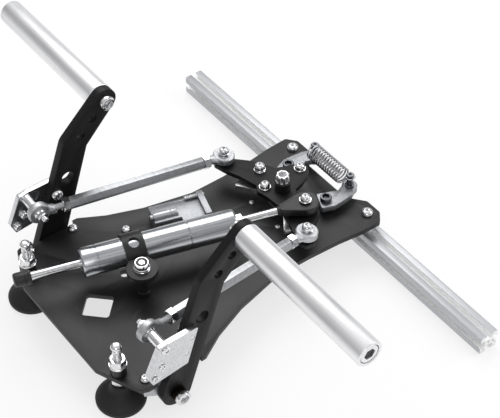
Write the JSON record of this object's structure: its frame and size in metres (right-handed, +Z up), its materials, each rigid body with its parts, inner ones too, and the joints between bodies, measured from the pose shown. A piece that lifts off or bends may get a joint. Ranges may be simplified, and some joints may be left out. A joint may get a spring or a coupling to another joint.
{
  "type": "rudder pedal set",
  "caption": "Base plate on a slotted rail with two hinged pedal arms and tube footrests, linked by rods to a sprung rocker with a damper.",
  "frame": {"origin": "centre of the bounding box, at floor level", "axes": "+X to the right footrest along the rail, +Y from the heel end to the rail, +Z up"},
  "size_m": [0.524, 0.3328, 0.1751],
  "materials": {
    "black_coat": "satin powder coat",
    "black_oxide": "black oxide",
    "dark_anodised": "dark anodised",
    "bronze": "sintered bronze",
    "rubber": "matt",
    "black_plastic": "moulded",
    "chrome": "polished",
    "spring_wire": "bright plated",
    "zinc_steel": "bright plated",
    "anodised": "satin anodised"
  },
  "bodies": {
    "base": {"base_plate": "black_coat", "rail": "anodised", "rail_spacers": "anodised", "rail_screws": "zinc_steel", "slot_nuts": "zinc_steel", "foot_pads": "rubber", "foot_studs": "zinc_steel", "foot_nuts": "zinc_steel", "pivot_blocks": "anodised", "block_screws": "zinc_steel", "arm_bolts": "zinc_steel", "pivot_bolt": "zinc_steel", "pivot_nut": "zinc_steel", "lever_bolts": "black_oxide", "waist_screws": "zinc_steel", "damper_pillar": "black_coat", "pillar_nut": "zinc_steel", "sensor_base": "anodised", "sensor_body": "anodised", "sensor_stud": "zinc_steel", "deck_screws": "zinc_steel"},
    "rocker": {"rocker_cam": "anodised", "rocker_plate": "black_coat", "rocker_hub": "black_oxide", "rocker_screws": "zinc_steel", "rocker_rod_bolts": "zinc_steel"},
    "arm_right": {"arm_right": "black_coat", "arm_bushes_right": "bronze", "tube_right": "anodised", "tube_bolt_right": "zinc_steel", "tube_plug_right": "anodised", "bracket_right": "anodised", "bracket_screws_right": "zinc_steel", "rod_spacer_right": "zinc_steel", "rod_bolt_right": "zinc_steel", "ball_right": "chrome"},
    "arm_left": {"arm_left": "black_coat", "arm_bushes_left": "bronze", "tube_left": "anodised", "tube_bolt_left": "zinc_steel", "tube_plug_left": "anodised", "bracket_left": "anodised", "bracket_screws_left": "zinc_steel", "rod_spacer_left": "zinc_steel", "rod_bolt_left": "zinc_steel", "ball_left": "chrome"},
    "rod_right": {"push_rod_right": "dark_anodised", "rod_ends_right": "zinc_steel", "rod_nuts_right": "zinc_steel"},
    "rod_left": {"push_rod_left": "dark_anodised", "rod_ends_left": "zinc_steel", "rod_nuts_left": "zinc_steel"},
    "lever_right": {"lever_right": "anodised"},
    "lever_left": {"lever_left": "anodised"},
    "spring": {"spring": "spring_wire"},
    "damper_tube": {"damper_body": "anodised", "damper_gland": "anodised", "damper_clamp": "black_coat"},
    "damper_shaft": {"damper_rod": "chrome", "damper_eye_end": "black_plastic"}
  },
  "joints": [
    {"name": "rocker_yaw", "type": "hinge", "parent": "base", "child": "rocker", "pos_m": [0, 0.09801, 0.0565], "axis": [0, 0, 1], "range_deg": [-12, 12], "stiffness_Nm_per_rad": 15},
    {"name": "arm_right_swing", "type": "hinge", "parent": "base", "child": "arm_right", "pos_m": [0.104, -0.09959, 0.017], "axis": [1, 0, 0], "range_deg": [-10.52, 10.52]},
    {"name": "arm_left_swing", "type": "hinge", "parent": "base", "child": "arm_left", "pos_m": [-0.104, -0.09959, 0.017], "axis": [1, 0, 0], "range_deg": [-10.52, 10.52]},
    {"name": "rod_right_turn", "type": "hinge", "parent": "arm_right", "child": "rod_right", "pos_m": [0.0863, -0.11159, 0.086], "axis": [0.8896, -0.4515, -0.0681], "range_deg": [-11.85, 11.85]},
    {"name": "rod_left_turn", "type": "hinge", "parent": "arm_left", "child": "rod_left", "pos_m": [-0.0863, -0.11159, 0.086], "axis": [-0.8896, -0.4515, -0.0681], "range_deg": [-11.85, 11.85]},
    {"name": "lever_right_swing", "type": "hinge", "parent": "base", "child": "lever_right", "pos_m": [0.0284, 0.12771, 0.0455], "axis": [0, 0, 1], "range_deg": [-6.01, 6.01]},
    {"name": "lever_left_swing", "type": "hinge", "parent": "base", "child": "lever_left", "pos_m": [-0.0284, 0.12771, 0.0455], "axis": [0, 0, 1], "range_deg": [-6.01, 6.01]},
    {"name": "spring_turn", "type": "hinge", "parent": "lever_left", "child": "spring", "pos_m": [-0.0263, 0.15841, 0.0597], "axis": [0, 0, 1], "range_deg": [-6.49, 6.49]},
    {"name": "damper_swing", "type": "hinge", "parent": "base", "child": "damper_tube", "pos_m": [0.01333, -0.0686, 0.0665], "axis": [0, 0, 1], "range_deg": [-0.7, 0.7]},
    {"name": "damper_stroke", "type": "slide", "parent": "damper_tube", "child": "damper_shaft", "axis": [0.2907, 0.9568, 0], "range_m": [-0.0075, 0.0075]}
  ],
  "couplings": [
    {"joint": "arm_right_swing", "follows": "rocker_yaw", "ratio": -0.87519},
    {"joint": "arm_left_swing", "follows": "rocker_yaw", "ratio": 0.87519},
    {"joint": "rod_right_turn", "follows": "rocker_yaw", "ratio": 0.98588},
    {"joint": "rod_left_turn", "follows": "rocker_yaw", "ratio": 0.98588},
    {"joint": "lever_right_swing", "follows": "rocker_yaw", "ratio": 0.5},
    {"joint": "lever_left_swing", "follows": "rocker_yaw", "ratio": 0.5},
    {"joint": "spring_turn", "follows": "rocker_yaw", "ratio": -0.53984},
    {"joint": "damper_swing", "follows": "rocker_yaw", "ratio": 0.05718},
    {"joint": "damper_stroke", "follows": "rocker_yaw", "m_per_rad": 0.034621}
  ]
}
